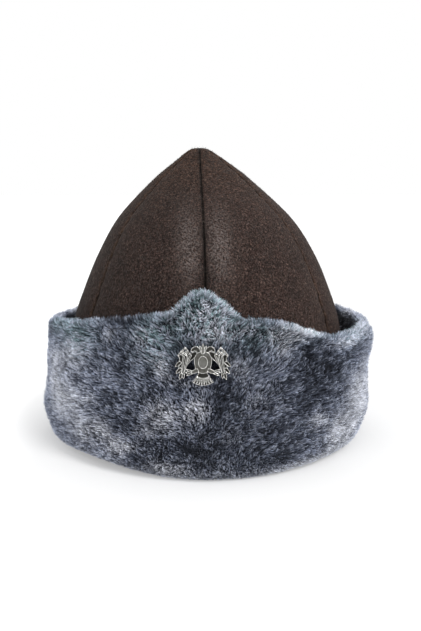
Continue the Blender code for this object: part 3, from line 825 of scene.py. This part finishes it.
def rim_at(azimuth):
    """Crest height, with the peak, and outward lean of the rim, smooth round the band."""
    turns = np.array([row[0] for row in RIM], float)
    k = np.searchsorted(turns, azimuth, side="right") - 1
    count = len(RIM)
    values = np.array([row[1:] for row in RIM])
    gap = (turns[(k + 1) % count] - turns[k]) % 360
    t = ((azimuth - turns[k]) / gap)[..., None]
    around = [values[(k + n) % count] for n in (-1, 0, 1, 2)]
    found = spline(*around, t)
    return found[..., 0] + peak_at(azimuth), found[..., 1]


def peak_at(azimuth):
    """Rise of the peak over the rim."""
    turn = azimuth - PEAK_AZIMUTH
    left, right = (np.abs(turn / width) ** power for width, power in (PEAK_LEFT, PEAK_RIGHT))
    return PEAK_RISE * np.maximum(0, 1 - np.where(turn < 0, left, right))


def foot_lift(azimuth):
    """Height of the fold's lower corner above the floor."""
    total = 0
    for centre, reach, height in FOOT_LIFTS:
        share = np.minimum(np.abs((azimuth - centre + 180) % 360 - 180) / reach, 1)
        total = total + height * np.cos(math.pi * share / 2) ** 2
    return total


def near_places(places, azimuth, height):
    """Sum of soft spots: azimuth, height in millimetres, reach along both, amount."""
    total = 0
    for centre, middle, reach, tall, amount in places:
        turn = (azimuth - centre + 180) % 360 - 180
        rise = (height - middle / 1000) / (tall / 1000)
        total = total + amount * np.exp(-((turn / reach) ** 2) - rise**2)
    return total


def band_points(azimuth, offset, height):
    """Points this far outside the band's lower wall."""
    turn = np.radians(azimuth)
    across, ahead = np.sin(turn), np.cos(turn)
    power = BAND_PLAN_POWER
    reach = (np.abs(across) ** power + np.abs(ahead) ** power) ** (-1 / power)
    x = (BAND_HALF_WIDTH + offset) * across * reach
    y = -(BAND_HALF_DEPTH + offset) * ahead * reach
    return np.stack(np.broadcast_arrays(x, y, height), axis=-1)


def wall_offset(azimuth, height):
    """Offset of the outer wall, with its lean and its soft bulge."""
    crest, lean = rim_at(azimuth)
    share = np.clip((height - FOLD_HEIGHT) / (crest - RIM_RADIUS - FOLD_HEIGHT), 0, 1)
    return lean * share + WALL_BULGE * np.sin(math.pi * share)


def badge_matrix():
    """The badge's own frame: x right, y up along the wall, z out of it, origin on the plate's back."""
    x, z = BADGE_CENTRE
    surface = float(wall_offset(np.array(0.0), z))
    back = -(BAND_HALF_DEPTH + surface) + BADGE_SINK
    up = Vector((0, math.sin(BADGE_TILT), math.cos(BADGE_TILT)))
    right = Vector((1, 0, 0))
    turn = Matrix((right, up, right.cross(up))).transposed().to_4x4()
    return Matrix.Translation((x, back, z)) @ turn


def pressed_by_badge(points, place, gap=BADGE_GAP, pocket=BADGE_POCKET):
    """The fur lies flat behind the badge. points and place are in one frame."""
    turn = np.array(place.to_3x3())
    centre = np.array(place.translation)
    local = (points - centre) @ turn
    inside = (local[..., 0] / pocket[0]) ** 2 + (local[..., 1] / pocket[1]) ** 2 < 1
    local[..., 2] = np.where(inside, np.minimum(local[..., 2], -gap), local[..., 2])
    return local @ turn.T + centre


def clear_of_crown(points, air):
    """Points moved out where the crown would reach past them."""
    height = points[..., 2]
    lean = crown_lean(height)
    half_width = np.interp(height, CROWN_CURVE[:, 1], CROWN_CURVE[:, 0]) + air
    x, y = points[..., 0] - lean, points[..., 1] / CROWN_DEPTH_RATIO
    reach = np.hypot(x, y)
    grow = np.maximum(1, half_width / np.maximum(reach, 1e-6))
    return np.stack([x * grow + lean, y * grow * CROWN_DEPTH_RATIO, height], axis=-1)


def band_path():
    """The fur's surface: turns by places along the section, and how many parts have passed at each place."""
    azimuth = np.arange(PATH_TURNS)[:, None] * 360 / PATH_TURNS - 180
    crest, lean = rim_at(azimuth)
    shoulder = crest - RIM_RADIUS
    last = len(PATH_PARTS) - 1
    shares = [np.linspace(0, 1, count, endpoint=n == last)[None, :] for n, count in enumerate(PATH_PARTS)]
    inner_foot = crown_points(CROWN_EDGE - FELT, 0.0, azimuth)
    lift = foot_lift(azimuth)
    outer_foot = band_points(azimuth, FOOT_OUTER, lift)
    under = mix(inner_foot, outer_foot, shares[0][..., None])
    turn = shares[1] * math.pi / 2
    height = lift + (FOLD_HEIGHT - lift) * (1 - np.cos(turn))
    fold = band_points(azimuth, FOOT_OUTER * (1 - np.sin(turn)), height)
    height = mix(FOLD_HEIGHT, shoulder, shares[2])
    wall = band_points(azimuth, wall_offset(azimuth, height) - near_places(DENTS, azimuth, height), height)
    wall = pressed_by_badge(wall, badge_matrix())
    turn = shares[3] * math.pi
    rim = band_points(azimuth, lean - RIM_RADIUS * (1 - np.cos(turn)), shoulder + RIM_RADIUS * np.sin(turn))
    rim_inner = band_points(azimuth, lean - 2 * RIM_RADIUS, shoulder)
    seat = crown_points(CROWN_EDGE + SEWN_GAP, SEWN_HEIGHT, azimuth)
    inner = clear_of_crown(mix(rim_inner, seat, shares[4][..., None]), CROWN_CLEARANCE)
    hem = mix(seat, crown_points(CROWN_EDGE + SEWN_GAP, HEM_THICKNESS, azimuth), shares[5][..., None])
    passed = np.concatenate([n + share[0] for n, share in enumerate(shares)])
    return np.concatenate([under, fold, wall, rim, inner, hem], axis=1), passed


def path_normals(path):
    around = np.roll(path, -1, axis=0) - np.roll(path, 1, axis=0)
    along = np.gradient(path, axis=1)
    return unit(np.cross(around, along))


def by_parts(table, passed):
    return np.interp(passed, *np.array(table).T)


def make_backing(path, normals, passed):
    """The strip that carries the fur, folded round the crown's edge."""
    depth = by_parts(PILE_DEPTHS, passed)
    thick = by_parts(BACKING, passed)
    turns = np.arange(0, PATH_TURNS * BACKING_TURNS, PATH_TURNS) // BACKING_TURNS
    places = np.unique(np.append(np.arange(0, path.shape[1], BACKING_STEP), path.shape[1] - 1))
    face = (path - normals * depth[:, None])[turns][:, places]
    back = (path - normals * (depth + thick)[:, None])[turns][:, places]
    face[..., 2] = np.maximum(face[..., 2], 0)
    outer = face.transpose(1, 0, 2)
    inner = back.transpose(1, 0, 2)
    finish = backing_material()
    backing = wall_piece("fur_backing", outer + CENTRING, inner + CENTRING, finish, closed=True)
    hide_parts("fur_band")
    middle = (outer + inner) / 2
    closed = np.concatenate([middle, middle[:, :1]], axis=1)
    width = norm(np.diff(middle, axis=0), axis=2).sum(axis=0).mean()
    flat = (float(width), float(path_length(closed[len(closed) // 2])))
    return backing, flat, float(grid_area(closed).sum())


class FurField:
    """The fur's surface with places in metres: u round the band from the back, v up the wall and over."""

    STEP = 0.0005

    def __init__(self, path, normals, passed):
        start = PATH_PARTS[0]
        end = len(passed) - PATH_PARTS[5]
        travelled = norm(np.diff(path[:, start:end], axis=1), axis=2).cumsum(axis=1)
        travelled = np.concatenate([np.zeros((PATH_TURNS, 1)), travelled], axis=1)
        rim_end = sum(PATH_PARTS[:4]) - start
        self.lengths = travelled[:, rim_end] + FUR_DOWN_INSIDE
        self.rim_middle = travelled[:, rim_end - PATH_PARTS[3] // 2]
        wanted = np.arange(0, self.lengths.max() + 0.010, self.STEP)
        depth = by_parts(PILE_DEPTHS, passed)[start:end]
        columns = []
        for turn in range(PATH_TURNS):
            known = travelled[turn]
            sources = [*path[turn, start:end].T, *normals[turn, start:end].T, depth]
            columns.append(np.stack([np.interp(wanted, known, source) for source in sources], axis=1))
        self.table = np.array(columns)
        wall = start + PATH_PARTS[1] + PATH_PARTS[2] // 3
        steps = norm(np.roll(path[:, wall], -1, axis=0) - path[:, wall], axis=1)
        self.round = np.concatenate([[0], steps.cumsum()])

    def turn_at(self, u):
        return np.interp(u % self.round[-1], self.round, np.arange(PATH_TURNS + 1))

    def azimuth_at(self, u):
        return self.turn_at(u) * 360 / PATH_TURNS - 180

    def turned(self, u, values):
        """A value that is known at each turn, at the places u."""
        return np.interp(self.turn_at(u), np.arange(PATH_TURNS + 1), np.append(values, values[0]))

    def at(self, u, v):
        """Place on the fur's surface, its normal and the pile's depth there."""
        turn = self.turn_at(u)
        a = np.floor(turn).astype(int)
        s = (turn - a)[:, None]
        v = np.clip(v / self.STEP, 0, self.table.shape[1] - 1.001)
        b = np.floor(v).astype(int)
        t = (v - b)[:, None]
        c = (a + 1) % PATH_TURNS
        a = a % PATH_TURNS
        low, high = (mix(self.table[a, k], self.table[c, k], s) for k in (b, b + 1))
        found = mix(low, high, t)
        return found[:, :3], unit(found[:, 3:6]), found[:, 6:]

    def lifted(self, u, v, share):
        """Points at a share of the pile's depth above the backing."""
        place, out, depth = self.at(u, v)
        return place + out * depth * (share[:, None] - 1)


class Tufts:
    """A jittered lattice of tufts over the fur. Each has a place and random numbers of its own."""

    def __init__(self, field, size, rng):
        self.round = field.round[-1]
        self.across = int(self.round / size)
        self.size = self.round / self.across
        self.up = int(field.lengths.max() / size) + 3
        shape = (self.across, self.up)
        self.u = (np.arange(self.across)[:, None] + rng.uniform(*TUFT_PLACES, shape)) * self.size
        self.v = (np.arange(self.up)[None, :] + rng.uniform(*TUFT_PLACES, shape) - 1) * self.size
        self.chance = rng.random((*shape, 4))

    def nearest(self, u, v):
        """The tuft nearest to each place: its offset from the place, and its random numbers."""
        i = np.floor(u / self.size).astype(int)
        j = np.floor(v / self.size).astype(int) + 1
        best = np.full(len(u), np.inf)
        du, dv, chance = np.zeros(len(u)), np.zeros(len(u)), np.zeros((len(u), 4))
        for di in (-1, 0, 1):
            for dj in (-1, 0, 1):
                a = (i + di) % self.across
                b = np.clip(j + dj, 0, self.up - 1)
                along = (self.u[a, b] - u + self.round / 2) % self.round - self.round / 2
                rise = self.v[a, b] - v
                far = along * along + rise * rise
                near = far < best
                best = np.where(near, far, best)
                du, dv = np.where(near, along, du), np.where(near, rise, dv)
                chance = np.where(near[:, None], self.chance[a, b], chance)
        return du, dv, chance


def strand_places(field, rng):
    """Even but jittered roots over the fur: places round the band and up its section."""
    across = int(field.round[-1] / STRAND_SPACING)
    up = int(field.lengths.max() / STRAND_SPACING)
    shape = (across, up)
    u = (np.arange(across)[:, None] + rng.random(shape)).ravel() * field.round[-1] / across
    v = (np.arange(up)[None, :] + rng.random(shape)).ravel() * STRAND_SPACING
    kept = v < field.turned(u, field.lengths)
    return u[kept], v[kept]


def make_fur(field, place, rng):
    """All the strands, as four joined pieces round the band."""
    u, v = strand_places(field, rng)
    count = len(u)
    azimuth = field.azimuth_at(u)
    height = field.at(u, v)[0][:, 2]
    tufts = [Tufts(field, row[0], rng).nearest(u, v) for row in TUFTS]
    past_rim = v - field.turned(u, field.rim_middle)
    turn = NAP_LEAN * np.tanh(azimuth / NAP_REACH) * np.cos(np.radians(azimuth / 2))
    teal = np.clip(near_places(TEALS, azimuth, height), 0, 1)
    curl = 1 + CURL * teal
    rise = rng.uniform(*STRAND_RISE, count)
    drawn_u, drawn_v = 0, 0
    for (du, dv, chance), (_, turns, rises, _, pull) in zip(tufts, TUFTS):
        turn = turn + (chance[:, 0] - 0.5) * 2 * turns * curl
        rise = rise + (chance[:, 3] - 0.5) * rises
        pull = pull * mix(*TUFT_PULLS, chance[:, 2])
        drawn_u = drawn_u + du * pull
        drawn_v = drawn_v + dv * pull
    turn = turn + rng.normal(0, STRAND_TURN, count)
    reach = rng.uniform(*STRAND_REACH, count) * mix(*TUFT_REACHES, tufts[2][2][:, 1])
    at_rim = np.exp(-((past_rim / RIM_REACH) ** 2))
    reach = reach * (1 - RIM_SHORTER * at_rim)
    tip_u = u + np.sin(turn) * reach + drawn_u
    tip_v = v + np.cos(turn) * reach + drawn_v
    rise = rise + at_rim * rng.uniform(*RIM_RISE, count)
    rise = np.where(past_rim > INSIDE_FROM, np.minimum(rise, INSIDE_RISE), rise)
    bow = STRAND_BOW * reach * (tufts[1][2][:, 2] - 0.5) * 2
    mid_u = u + (tip_u - u) * MID_SHARE + np.cos(turn) * bow
    mid_v = v + (tip_v - v) * MID_SHARE - np.sin(turn) * bow
    root = field.lifted(u, v, np.zeros(count))
    mid = field.lifted(mid_u, mid_v, rise * MID_RISE)
    tip = field.lifted(tip_u, tip_v, rise)
    facing = field.at(mid_u, mid_v)[1]
    ahead = unit(tip - root)
    beside = unit(np.cross(ahead, facing) + facing * rng.normal(0, STRAND_FACING, (count, 1)))
    side = beside * rng.uniform(*STRAND_WIDTHS, (count, 1)) / 2
    mid_side = side * MID_WIDTH
    points = np.stack([root - side, root + side, mid - mid_side, mid + mid_side, tip], axis=1)
    points = pressed_by_badge(points, place, PILE_GAP, PILE_POCKET)
    points = clear_of_crown(points, CROWN_AIR)
    points[..., 2] = np.maximum(points[..., 2], FLOOR_CLEARANCE)
    shade = strand_shades(azimuth, height, past_rim, root, teal, tufts, rng)
    finish = fur_material()
    quarter = ((azimuth + 45) % 360 // 90).astype(int)
    pieces = []
    for n, name in enumerate(("front", "right", "back", "left")):
        own = quarter == n
        pieces.append(strand_piece(f"fur_pile_{name}", points[own] + CENTRING, shade[own], finish))
    return pieces


def strand_shades(azimuth, height, past_rim, places, teal, tufts, rng):
    """Colour of each strand's root, middle and tip."""
    count = len(azimuth)
    # The tones are partly the fur's own and partly painted light and shade.
    tone_and_painted_light = TONE_AND_PAINTED_LIGHT_STRENGTH * near_places(TONES_AND_PAINTED_LIGHT, azimuth, height)
    turned = smoothstep(*PLAIN_SIDES, np.abs(azimuth))
    tone_and_painted_light = tone_and_painted_light + turned * (SIDE_TONE + PATCH_GAIN * soft_noise(places, PATCHES_PER_METRE))
    gain = tone_and_painted_light
    crisp = 1 + CRISP_LIGHTS * np.clip(tone_and_painted_light, 0, CRISP_UP_TO)
    for (_, _, chance), row in zip(tufts, TUFTS):
        gain = gain + (chance[:, 1] - 0.5) * row[3] * crisp
    gain = gain + rng.normal(0, STRAND_TONE, count)
    # Painted light along the foot.
    painted_foot_light = PAINTED_LIGHT_AT_FOOT * np.exp(-((height / PAINTED_FOOT_LIGHT_REACH) ** 2))
    # Painted shade inside the band, and painted light along the rim.
    gain = gain - PAINTED_SHADE_INSIDE * smoothstep(*PAINTED_SHADE_INSIDE_FROM, past_rim)
    gain = gain + PAINTED_LIGHT_AT_RIM * np.exp(-((past_rim / PAINTED_RIM_LIGHT_REACH) ** 2)) + painted_foot_light
    gain = np.where(tufts[0][2][:, 2] < LIGHT_SHARE, gain + LIGHT_GAIN, gain)
    pale = np.clip(tone_and_painted_light + painted_foot_light, 0, PALEST)[:, None]
    tip = mix(mix(FUR_TIP, FUR_PALE, pale / PALEST), FUR_TEAL, teal[:, None])
    tip = np.minimum(tip * (2.0**gain)[:, None], mix(FUR_FLECK, FUR_LIGHTEST, pale / PALEST))
    root = mix(FUR_ROOT, tip, ROOT_LIGHT[0] + ROOT_LIGHT[1] * pale)
    mid = mix(root, tip, MID_LIGHT[0] + MID_LIGHT[1] * pale)
    return np.stack([root, root, mid, mid, tip], axis=1)


def strand_piece(name, points, shade, finish):
    count = len(points)
    corner = np.array([[0, 1, 3], [0, 3, 2], [2, 3, 4]])
    faces = (np.arange(count)[:, None, None] * 5 + corner).reshape(-1, 3)
    piece = new_piece(name, points.reshape(-1, 3), faces, finish)
    point_colours(piece, "strand_shade", shade.reshape(-1, 3))
    return piece


def make_badge_wire(badge, place):
    """Bright rounded edges along the badge's raised outlines, on the edges of its own solid."""
    mesh = badge.data
    turn = place.to_3x3().inverted()
    centre = place.translation
    corners = [tuple(round(value, 7) for value in vertex.co) for vertex in mesh.vertices]
    normals = {}
    for face in mesh.polygons:
        loop = [corners[k] for k in face.vertices]
        for ends in zip(loop, loop[1:] + loop[:1]):
            normals.setdefault(tuple(sorted(ends)), []).append((face.normal.copy(), face.center.copy()))
    rings, faces = [], []
    turns = np.linspace(0, 2 * math.pi, WIRE_SIDES, endpoint=False)
    ring = np.array([(math.cos(angle), math.sin(angle)) for angle in turns])
    for key, sides in normals.items():
        if len(sides) != 2:
            continue
        (n1, c1), (n2, c2) = sides
        ends = [Vector(corner) for corner in key]
        if min((turn @ (end - centre)).z for end in ends) < WIRE_FLOOR:
            continue
        convex = n1.dot(c2 - c1) < 0
        if not convex or n1.angle(n2, 0) < WIRE_TURN:
            continue
        along = (ends[1] - ends[0]).normalized()
        first = along.orthogonal().normalized()
        second = along.cross(first)
        start = len(rings)
        for end in ends:
            for x, y in ring * WIRE_RADIUS:
                rings.append(end + first * x + second * y)
        for k in range(WIRE_SIDES):
            after = (k + 1) % WIRE_SIDES
            faces.append((start + k, start + after, start + after + WIRE_SIDES, start + k + WIRE_SIDES))
    finish = badge_wire_material()
    new_piece("badge_bright_edges", np.array(rings), np.array(faces), finish)


def soft_sun(name, azimuth, elevation, spread, strength):
    """Even light from one side over the whole floor. spread is the width of the source in degrees."""
    data = bpy.data.lights.new(name, "SUN")
    data.angle = math.radians(spread)
    data.energy = strength
    light = new_object(name, data)
    turn, rise = math.radians(azimuth), math.radians(elevation)
    source = Vector((math.sin(turn) * math.cos(rise), -math.cos(turn) * math.cos(rise), math.sin(rise)))
    light.location = source
    light.rotation_euler = (-source).to_track_quat("-Z", "Y").to_euler()


def white_world():
    world = bpy.data.worlds.new("studio_white")
    world.use_nodes = True
    background = world.node_tree.nodes["Background"]
    background.inputs["Color"].default_value = (1, 1, 1, 1)
    background.inputs["Strength"].default_value = WORLD_LIGHT
    bpy.context.scene.world = world


def make_studio():
    mesh = bpy.data.meshes.new("studio_floor")
    reach = FLOOR_REACH
    corners = [(-reach, -reach, 0), (reach, -reach, 0), (reach, reach, 0), (-reach, reach, 0)]
    mesh.from_pydata(corners, [], [(0, 1, 2, 3)])
    mesh.materials.append(floor_material())
    floor = new_object("studio_floor", mesh)
    white_world()
    for row in SUNS:
        soft_sun(*row)
    bpy.context.scene.view_settings.view_transform = "Standard"


def make_camera():
    data = bpy.data.cameras.new("photo_camera")
    data.sensor_width = CAMERA_SENSOR
    data.lens = CAMERA_LENS
    data.shift_x, data.shift_y = CAMERA_SHIFT
    camera = new_object("photo_camera", data)
    camera.location = CAMERA_PLACE + Vector(CENTRING)
    down = math.atan2(CAMERA_PLACE.z - CAMERA_AIM_HEIGHT, -CAMERA_PLACE.y)
    camera.rotation_euler = (math.pi / 2 - down, 0, 0)
    bpy.context.scene.camera = camera


def dress_badge(place):
    badge = bpy.data.objects["badge"]
    badge.data.materials.clear()
    badge.data.materials.append(badge_material(place))
    bevel = badge.modifiers.new("soft_edges", "BEVEL")
    bevel.width = BEVEL_WIDTH
    bevel.segments = 2
    bevel.limit_method = "ANGLE"
    bevel.angle_limit = BEVEL_FROM
    make_badge_wire(badge, place)


def main():
    rng = np.random.default_rng(RANDOM_SEED)
    make_camera()
    make_studio()
    grids = make_gores()
    make_fibres(grids, rng)
    place = badge_matrix()
    dress_badge(Matrix.Translation(Vector(CENTRING)) @ place)
    path, passed = band_path()
    normals = path_normals(path)
    backing, flat, area = make_backing(path, normals, passed)
    field = FurField(path, normals, passed)
    piles = make_fur(field, place, rng)


main()
